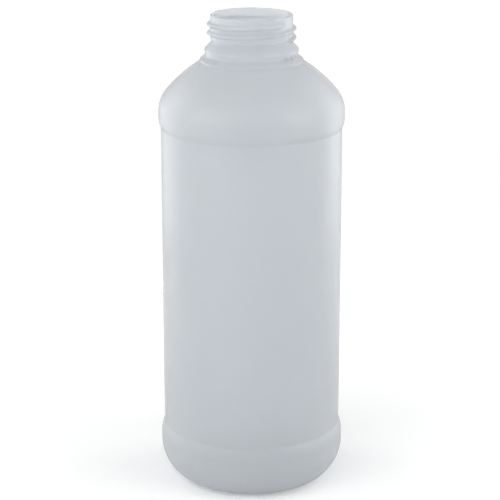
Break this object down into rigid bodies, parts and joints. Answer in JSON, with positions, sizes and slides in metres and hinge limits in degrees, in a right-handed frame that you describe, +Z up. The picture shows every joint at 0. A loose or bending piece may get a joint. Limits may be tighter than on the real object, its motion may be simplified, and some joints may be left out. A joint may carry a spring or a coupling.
{
  "type": "cylindrical plastic bottle",
  "caption": "Round blow-moulded bottle of translucent plastic with a recessed label panel, rounded heel and shoulder, and an open screw neck with a ratchet collar, for household liquids.",
  "frame": {"origin": "on the bottle's axis, in the plane that the foot stands on", "axes": "+Z up along the bottle's axis, from the foot to the mouth; -Y towards the front"},
  "size_m": [0.0868, 0.0868, 0.2234],
  "materials": {
    "natural_hdpe": "translucent natural polyethylene, milky and satin"
  },
  "bodies": {
    "root": {"bottle": "natural_hdpe"}
  },
  "joints": []
}
